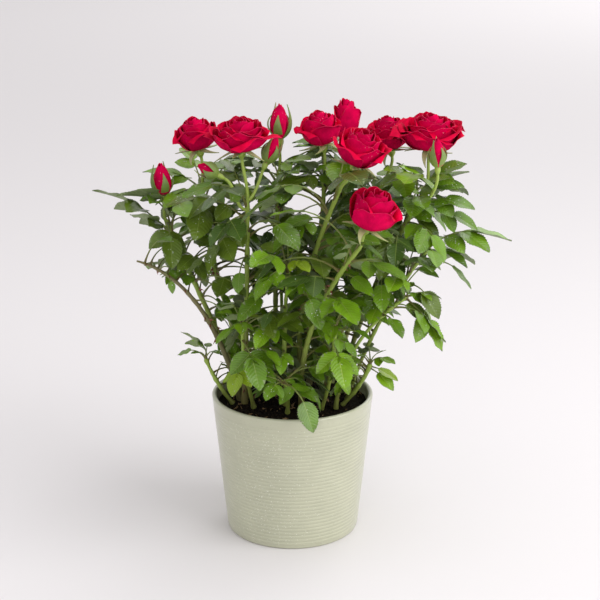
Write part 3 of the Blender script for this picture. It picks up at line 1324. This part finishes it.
def stem_radii(stem, name):
    """Rows of ring radii: the even taper, a swelling at every leaf, and crossing waves of a twentieth of
    the radius as relief. A shoot narrows to a point, and the cut cane grows thin."""
    share = np.linspace(0, 1, STEM_ROWS)
    radius = wood_radius(stem, share)
    for leaf in grown:
        if leaf["stem"] == name:
            away = (share - leaf["share"]) * stem["length"] / SWELLING_LENGTH
            radius = radius + SWELLING * np.exp(-(away**2))
    if name in SHOOTS:
        radius = radius * np.clip((1.005 - share) / 0.08, 0.06, 1) ** 0.6
    if name == "stub":
        radius = radius * (1 - 0.45 * share**2)
    turn = full_turn(STEM_SIDES)
    relief = np.sin(3 * turn + 9 * share[:, None] + stem["seed"]) * np.sin(23 * share[:, None] + 2 * turn)
    return radius[:, None] * (1 + STEM_RELIEF * relief)


for piece_name, stems, bark, solid in (
    ("rose_canes", CANES, cane_bark, "cane_"),
    ("leafy_shoots", SHOOTS, shoot_bark, "foliage_"),
):
    wood = Bundle()
    for name in stems:
        stem = STEMS[name]
        path = bezier(stem["corners"], np.linspace(0, 1, STEM_ROWS))
        points, faces, uv = tubes(path, stem_radii(stem, name), STEM_SIDES, np.array([1.0, 0.2, 0]))
        wood.add(points, faces, [int(name == "stub")] * 2, uv)
    wood.piece(piece_name, [bark, old_bark], "cane_bark", [solid + name for name in stems])

# %% Leaf stalks
STALK_ROWS = 8
STALK_SIDES = 5
FULL_LEAF = 30

share = np.linspace(0, 1, STALK_ROWS)
paths = np.array([spine(leaf["way"], share) for leaf in grown])
slim = np.array([0.6 + 0.4 * min(1, leaf["way"]["size"] / FULL_LEAF) for leaf in grown])
radius = np.interp(share, [0, 0.1, 0.2, 1], [1.5, 1.15, 0.85, 0.5])
points, faces, uv = tubes(paths, (slim[:, None] * radius)[..., None], STALK_SIDES, UP)
stalks = Bundle().add(points, faces, uv=uv)
stalks.piece("leaf_stalks", [stalk_green], "leaf")

# %% [markdown]
# ## Prickles
# A rose's prickles are hooks that point down the cane, on an oval foot. Each is a short tube of five rings
# along a bent line. The rings get a wide, long foot that narrows to a point, and each hook is turned and
# sized by chance.

# %% Prickles
PRICKLES_A_CANE = 15
PRICKLE_SIDES = 6
PRICKLE_REACH = np.array([-0.5, 0.5, 1.8, 3.0, 3.9])
PRICKLE_HOOK = np.array([0, 0, -0.25, -0.9, -1.9])
PRICKLE_WIDTH = np.array([1.0, 0.85, 0.5, 0.26, 0.05])[:, None]
PRICKLE_OVAL = np.array([1, 0.9, 0.5, 0.2, 0])[:, None]

draw = np.random.default_rng(5)
prickles = Bundle()
width = PRICKLE_WIDTH * (0.8 + 1.0 * np.cos(full_turn(PRICKLE_SIDES)) ** 2 * PRICKLE_OVAL)
for name in CANES:
    stem = STEMS[name]
    share = draw.uniform(0.04, 0.93, PRICKLES_A_CANE)
    centre = bezier(stem["corners"], share)
    along = heading_at(stem["corners"], share)
    out = unit(np.cross(along, unit(draw.normal(size=(PRICKLES_A_CANE, 3)))))
    size = draw.uniform(0.7, 1.15, PRICKLES_A_CANE)[:, None] * (1.15 - 0.4 * share[:, None])
    skin = wood_radius(stem, share)[:, None]
    path = centre[:, None] + out[:, None] * (skin + size * PRICKLE_REACH)[..., None]
    path = path + along[:, None] * (size * PRICKLE_HOOK)[..., None]
    points, faces, uv = tubes(path, size[:, :, None] * width, PRICKLE_SIDES, along)
    prickles.add(points, faces, uv=uv)
prickles.piece("cane_prickles", [prickle_red], "cane_bark")

# %% [markdown]
# ## Flowers
# A garden rose opens as a spiral: each petal stands a golden angle on from the one inside it, cupped at its
# base, and the outer ones lean out and roll their rims back. So one formula makes every petal, from its
# place q in the spiral, 0 at the heart and 1 outside. A petal is a thin closed shell, red and velvety
# inside, more crimson and matt outside, pale at its foot and along its rolled rim. A bud is the same spiral
# of fewer petals, closed to a point.

# %% Petal finishes


def petal_finish(name, colour, foot):
    """Velvet: a rough red that hardly shines, with soft clouds, fine lines along the petal and a pale
    foot."""
    made = finish_of(name, Roughness=0.65, Specular_IOR_Level=0.03)
    clouds = ramp(made, noise(made, 110, 3), 0.3, 0.7)
    body = mix_colour(made, clouds, shaded(colour, 0.66), shaded(colour, 1.12))
    low = ramp(made, along_map(made), 0.22, 0.04)
    plug(made, Base_Color=mix_colour(made, low, body, foot))
    flat = node(made, "TexCoord", {}, output=2)
    stretched = node(made, "Mapping", {0: flat, 3: (26, 1.2, 1)})
    lines = node(made, "TexNoise", {"Vector": stretched, "Scale": 1.0, "Detail": 2.0})
    plug(made, Normal=bump(made, lines, 0.0004, 0.6))
    return made


petal_inside = petal_finish("petal_inside", (0.68, 0.0004, 0.043, 1), (0.55, 0.30, 0.10, 1))
petal_outside = petal_finish("petal_outside", (0.68, 0.0006, 0.070, 1), (0.55, 0.40, 0.22, 1))
RIM_DARK, RIM_LIGHT = (0.55, 0.002, 0.05, 1), (0.68, 0.02, 0.11, 1)
petal_rim = mottled("petal_rim", 200, RIM_DARK, RIM_LIGHT, Roughness=0.5, Specular_IOR_Level=0.2)
sepal_green = cane_finish("sepal_green", (0.24, 0.34, 0.06, 1), (0.17, 0.25, 0.06, 1), 0.5)
sepal_pale = cane_finish("sepal_pale", (0.42, 0.50, 0.20, 1), (0.46, 0.50, 0.24, 1), 0.6)
flower_stalk = cane_finish("flower_stalk", (0.32, 0.44, 0.07, 1), (0.34, 0.46, 0.08, 1), 0.45)
print("petal finishes", petal_inside.name, petal_outside.name, petal_rim.name)

# %% A shell


def shell_faces(rows, columns):
    """Faces of a closed thin shell over a grid: the outer grid, the inner grid turned round, and the rim
    between them."""
    outer = grid_faces(rows, columns)
    inner = outer[:, ::-1] + rows * columns
    low = np.arange(columns)
    right = np.arange(1, rows) * columns + columns - 1
    high = (rows - 1) * columns + np.arange(columns - 1)[::-1]
    left = np.arange(1, rows - 1)[::-1] * columns
    around = np.concatenate([low, right, high, left])
    following = np.roll(around, -1)
    rim = np.stack([following, around, around + rows * columns, following + rows * columns], axis=1)
    return [outer, inner, rim]


def shell(points, thickness):
    """Two layers half a thickness to each side of grids of (copies, rows, columns, 3) points."""
    normal = np.cross(np.gradient(points, axis=2), np.gradient(points, axis=1))
    normal = unit(normal + 1e-9)
    layers = np.stack([points + normal * thickness / 2, points - normal * thickness / 2], axis=1)
    return layers.reshape(len(points), -1, 3)


print("shell helpers ready")

# %% Petals
PETAL_ROWS = 11
PETAL_COLUMNS = 11
PETAL_THICKNESS = 0.3
BLOOM_OPEN = 0.3
petal_s = np.linspace(0, 1, PETAL_ROWS)[None, :, None]
petal_t = np.linspace(-1, 1, PETAL_COLUMNS)[None, None, :]


def flower_turn(plan):
    """How far a flower is turned round its axis, which differs from flower to flower."""
    return plan["base"][0] * 0.37 + plan["base"][1] * 0.11


def petal_form(plan, q):
    """A petal's rim radius, cup radius, width and height by its place q in the spiral, and how many radians
    it may cover. In a bloom they grow outwards and the outer petals are lower; in a bud all wrap round."""
    radius, height, opened = plan["width"] / 2, plan["height"], plan["open"]
    if opened > BLOOM_OPEN:
        rim = radius * (0.13 + (0.47 + 0.22 * opened) * q)
        return rim, radius * (0.26 + 0.56 * q), radius * (0.42 + 0.44 * q), 2.3
    rim = radius * (0.10 + (0.10 + 0.5 * opened) * q)
    return rim, radius * (0.62 + 0.36 * q), radius * 1.45, 2.0


def petal_top(plan, q, uneven):
    """How high a petal stands: the flower's height, less towards its outside, and uneven in a bloom."""
    if plan["open"] > BLOOM_OPEN:
        return plan["height"] * (1 - (0.02 + 0.24 * plan["open"]) * q**1.6 + 0.10 * uneven * (0.3 + q))
    return plan["height"] * (1 - 0.10 * q)


def petal_spiral(plan, count, draws):
    """Grids of all petals of a flower, in its own frame: x and y across its axis, z along it from the hip.
    A petal's middle line is a smooth curve of radius and height, from its foot, out to its cup, up to its
    rim. Its width in radians is the width in millimetres over the radius there. Its rim comes to a slight
    point, because its sides roll back."""
    radius, height, opened = plan["width"] / 2, plan["height"], plan["open"]
    q = np.linspace(0, 1, count)[:, None, None]
    away = np.abs(petal_t)
    uneven = draws[:, 3:, None, None] - 0.5
    s = petal_s * (1 - 0.12 * away**3.2 + 0.06 * uneven[:, 0] * (1 - away) ** 2)
    rim, cup, breadth, widest = petal_form(plan, q)
    top = petal_top(plan, q, uneven[:, 1])
    corner_r = [2.2 + 0 * q, 1.1 * cup, 1.1 * cup, rim]
    corner_z = [0 * q, 0.04 * top, 0.62 * top, top]
    weights = [(1 - s) ** 3, 3 * (1 - s) ** 2 * s, 3 * (1 - s) * s**2, s**3]
    r = sum(weight * corner for weight, corner in zip(weights, corner_r))
    z = sum(weight * corner for weight, corner in zip(weights, corner_z))
    grown_width = 0.30 + 0.70 * np.sin(np.pi / 2 * np.minimum(petal_s / 0.62, 1))
    narrowing = 1 - 0.30 * np.maximum(0, (petal_s - 0.76) / 0.24) ** 2.2
    spread = np.minimum(breadth * grown_width * narrowing / np.maximum(r, 1.5), widest)
    lean = (0.5 + 0.5 * opened) * q ** (1 + 4 * (1 - opened)) if opened > BLOOM_OPEN else 0.03 * q
    vigour = 0.5 + draws[:, 1, None, None]
    curl = np.maximum(0, petal_s - 0.66) / 0.34
    phase = draws[:, 0, None, None] * 6.3
    r = r + radius * 0.24 * lean * vigour * curl**1.6
    z = z - height * 0.18 * lean * vigour * curl**2.4
    r = r + radius * (0.03 + 0.11 * lean) * away**2.6 * petal_s
    z = z - height * 0.07 * lean * away**3 * petal_s
    ruffle = (0.02 + 0.05 * lean) * radius * petal_s**3
    r = r + 0.6 * petal_t * petal_s + ruffle * np.sin(3.1 * petal_t + phase)
    z = z + ruffle * (np.sin(4.0 * petal_t + 2 * phase) + 0.5 * np.sin(7.5 * petal_t + 5 * phase))
    angle = flower_turn(plan) + np.arange(count)[:, None, None] * GOLDEN_ANGLE
    angle = angle + 0.25 * (draws[:, 2, None, None] - 0.5) + spread * petal_t
    return round_z(r, angle, z)


def in_flower(plan, points):
    """From a flower's own frame to the plant's: the base, plus each number times its direction."""
    axis, across, other = flower_axes(plan)
    return np.array(plan["base"]) + points @ np.stack([across, other, axis])


draw = np.random.default_rng(23)
petal_uv = np.tile(flat_map(petal_t.ravel(), petal_s.ravel()), (2, 1))
petal_points = []
for piece_name, start in (("rose_petals", "rose_"), ("bud_petals", "bud_")):
    petals = Bundle()
    chosen = {name: plan for name, plan in FLOWERS.items() if name.startswith(start)}
    for plan in chosen.values():
        count = int(8 + 14 * plan["open"]) if plan["open"] > BLOOM_OPEN else 6
        grid = petal_spiral(plan, count, draw.uniform(size=(count, 5)))
        grid[..., 2] += HIP_LENGTH * 0.9
        points = shell(in_flower(plan, grid), PETAL_THICKNESS)
        petal_points.append(points)
        petals.add(points, shell_faces(PETAL_ROWS, PETAL_COLUMNS), [1, 0, 2], petal_uv)
    solids = [name.replace("bud_", "rosebud_") for name in chosen]
    petals.piece(piece_name, [petal_inside, petal_outside, petal_rim], "petal", solids, sharp=65)

# %% [markdown]
# ## Hips, flower stalks and sepals
# Under each flower sits a hip, a small green bulb, on a stalk that leaves its cane smoothly. Both are
# tubes, the hip one whose rings swell and narrow again. Five sepals spring from the hip's top. They are
# thin closed shells like the petals, in line with the real ones: hanging out under an open bloom, hugging a
# bud.

# %% Hips and flower stalks
STALK_STEPS = np.linspace(0, 1, 16)
STALK_WIDTHS = np.interp(STALK_STEPS, [0, 0.12, 1], [1.5, 1.32, 1.25])
FLOWER_STALK_SIDES = 9
HIP_SIDES = 12
HIP_RISE = np.array([-0.8, 0, 1.2, 2.8, 4.6, 6.3, 7.6, 8.4])
HIP_WIDTHS = np.array([1.1, 1.35, 2.3, 3.3, 3.7, 3.5, 3.0, 2.7])

stalks = Bundle()
for plan in FLOWERS.values():
    corners = STEMS[plan["on"]]["corners"]
    axis, across, _ = flower_axes(plan)
    base = np.array(plan["base"], float)
    point = bezier(corners, plan["at"])[0]
    along = heading_at(corners, plan["at"])[0]
    away = base - point
    away = unit(away - (away @ along) * along)
    leaving = along if plan["at"] == 1 else away
    start = point - leaving * 0.6
    handle = np.linalg.norm(base - start) / 3
    path = bezier([start, start + leaving * handle, base - axis * handle, base], STALK_STEPS)
    points, faces, uv = tubes(path, STALK_WIDTHS[:, None], FLOWER_STALK_SIDES, across)
    stalks.add(points, faces, uv=uv)
    hip_widths = HIP_WIDTHS * min(1, plan["width"] / 20)
    points, faces, uv = tubes(base + HIP_RISE[:, None] * axis, hip_widths[:, None], HIP_SIDES, across)
    stalks.add(points, faces, uv=uv)
stalks.piece("flower_stalks", [flower_stalk], "cane_bark")

# %% Sepals
SEPAL_ROWS = 12
SEPAL_COLUMNS = 7
SEPAL_THICKNESS = 0.5
SEPAL_FOOT = 2.9
SEPAL_WIDEST = 0.315
OPEN_LEVELS = np.array([5, -2, 7, 1, 4])[:, None, None]
sepal_s = np.linspace(0, 1, SEPAL_ROWS)[None, :, None]
sepal_t = np.linspace(-1, 1, SEPAL_COLUMNS)[None, None, :]
sepal_uv = np.tile(flat_map(sepal_t.ravel(), sepal_s.ravel()), (2, 1))


def sepal_line(plan):
    """Where the middle line of each of five sepals passes: radius and height halfway and at its tip. Under
    a bloom they reach out to uneven levels, round a bud they hug it and their thin tips stand out."""
    radius, height = plan["width"] / 2, plan["height"]
    odd = (np.arange(5) % 2)[:, None, None]
    if plan["open"] > BLOOM_OPEN:
        return 10 + 0 * odd, 5 + 0.2 * OPEN_LEVELS, 20 + 2.0 * odd, OPEN_LEVELS
    tip_z = HIP_LENGTH + height * (0.7 + 0.28 * odd)
    return radius + 0.9 + 0 * odd, HIP_LENGTH + height * 0.36, radius * 0.55 + 1.8 * odd, tip_z


def curve_through(start, middle, end):
    """A smooth curve that passes its middle halfway: its inner corner is twice the middle less the ends'
    mean."""
    pull = 2 * middle - (start + end) / 2
    return (1 - sepal_s) ** 2 * start + 2 * (1 - sepal_s) * sepal_s * pull + sepal_s**2 * end


def sepal_width(plan):
    """Half a sepal's width along it: a sine that swells to its widest, and then narrows to a long tip."""
    bulge = np.sin(np.pi * sepal_s**0.6)
    widest, narrowing = 2.6, 1.0
    if plan["open"] < BLOOM_OPEN:
        widest, narrowing = min(4.2, plan["width"] / 2 * (0.66 - 1.4 * plan["open"])), 1.25
    upper = np.maximum(bulge, 0) ** narrowing
    return widest * np.where(sepal_s < SEPAL_WIDEST, 0.5 + 0.5 * bulge, upper) + 0.2


sepals = Bundle()
for plan in FLOWERS.values():
    way = flower_turn(plan) + (2 * np.arange(5)[:, None, None] + 0.5) * np.pi / 5
    mid_r, mid_z, tip_r, tip_z = sepal_line(plan)
    r = curve_through(SEPAL_FOOT, mid_r, tip_r)
    z = curve_through(HIP_LENGTH * 0.9, mid_z, tip_z)
    wide = sepal_width(plan)
    angle = way + wide * sepal_t / np.maximum(r, 5)
    if plan["open"] > BLOOM_OPEN:
        angle = angle + 0.4 * sepal_s**2 * np.sin(5 * way)
        z = z + 0.12 * np.abs(sepal_t) ** 2 * wide
    points = shell(in_flower(plan, round_z(r, angle, z)), SEPAL_THICKNESS)
    sepals.add(points, shell_faces(SEPAL_ROWS, SEPAL_COLUMNS), [0, 1, 0], sepal_uv)
sepals.piece("sepals", [sepal_green, sepal_pale], "leaf")

# %% [markdown]
# ## Dew
# The plant has just been misted: fine drops stand on its leaves, its petals and the pot. A drop is a small
# dome on a flat ring. It is seated by blending the four corners of a face that is chosen at random, and it
# stands along that face's normal. The drops are small glossy lenses, so a pale smooth surface is enough.

# %% A drop
DEW_SIDES = 6

dew_green = finish_of("dew_green", Roughness=0.04, Specular_IOR_Level=0.9, Base_Color=(0.50, 0.58, 0.44, 1))
dew_pink = finish_of("dew_pink", Roughness=0.04, Specular_IOR_Level=0.9, Base_Color=(0.85, 0.26, 0.34, 1))
dew_pale = finish_of("dew_pale", Roughness=0.08, Specular_IOR_Level=0.9, Base_Color=(0.74, 0.75, 0.66, 1))
ring = full_turn(DEW_SIDES)
dew_x = np.concatenate([np.cos(ring), 0.72 * np.cos(ring), [0]])
dew_y = np.concatenate([np.sin(ring), 0.72 * np.sin(ring), [0]])
dew_z = np.concatenate([np.full(DEW_SIDES, -0.25), np.full(DEW_SIDES, 0.38), [0.6]])
high = DEW_SIDES + np.arange(DEW_SIDES)
DEW_FACES = [
    grid_faces(2, DEW_SIDES, closed=True),
    np.stack([high, np.roll(high, -1), np.full(DEW_SIDES, 2 * DEW_SIDES)], axis=1),
    np.arange(DEW_SIDES)[None, ::-1],
]
draw = np.random.default_rng(31)


def drops(name, shapes, quads, count, size, slot, finish, wet=1.0):
    """Dew on shapes (n, points, 3): count drops with radii of up to size, each on a quad of a shape. A
    quad's chance is its area times its own wetness and its shape's, a random number cubed."""
    corners = shapes[:, quads]
    facing = np.cross(corners[:, :, 2] - corners[:, :, 0], corners[:, :, 3] - corners[:, :, 1])
    chance = np.linalg.norm(facing, axis=-1) * wet * draw.uniform(size=(len(shapes), 1)) ** 3
    chosen = draw.choice(chance.size, count, p=chance.ravel() / chance.sum())
    first, second, third, fourth = corners.reshape(-1, 4, 3)[chosen].transpose(1, 0, 2)
    a, b = draw.uniform(0.05, 0.95, (2, count, 1))
    place = (first * (1 - a) + second * a) * (1 - b) + (fourth * (1 - a) + third * a) * b
    normal = unit(facing.reshape(-1, 3)[chosen])
    across = unit(np.cross(normal, draw.normal(size=(count, 3))))
    other = np.cross(normal, across)
    radius = size * draw.uniform(0.3, 1, (count, 1, 1)) ** 1.5
    axes = (dew_x, across), (dew_y, other), (dew_z, normal)
    dome = sum(reach[:, None] * axis[:, None] for reach, axis in axes)
    Bundle().add(place[:, None] + radius * dome, DEW_FACES).piece(name, [finish], slot)


print("faces of a drop", sum(len(block) for block in DEW_FACES))

# %% Dew on leaves, petals and pot
DEW_ON_LEAVES = 3600
DEW_ON_PETALS = 1500
DEW_ON_POT = 1300
MIST_TURN = -1.85
MIST_WIDTH = 0.5
RIB_ROWS = slice(POT_SEGMENTS * 8, POT_SEGMENTS * 270)

drops("dew_on_leaves", leaf_points, np.concatenate(leaf_tops[2:]), DEW_ON_LEAVES, 0.6, "leaf", dew_green)
outside = grid_faces(PETAL_ROWS, PETAL_COLUMNS)[PETAL_COLUMNS * 2:]
drops("dew_on_petals", np.concatenate(petal_points), outside, DEW_ON_PETALS, 0.45, "petal", dew_pink)
wall_faces = grid_faces(len(pot_profile()), POT_SEGMENTS, closed=True)[RIB_ROWS]
wall_middle = pot_points[wall_faces].mean(axis=1)
wall_turn = np.arctan2(wall_middle[:, 1], wall_middle[:, 0])
misted = np.exp(-(((wall_turn - MIST_TURN) / MIST_WIDTH) ** 2)) + 0.04
drops("dew_on_pot", pot_points[None], wall_faces, DEW_ON_POT, 0.42, "pot_glaze", dew_pale, misted)
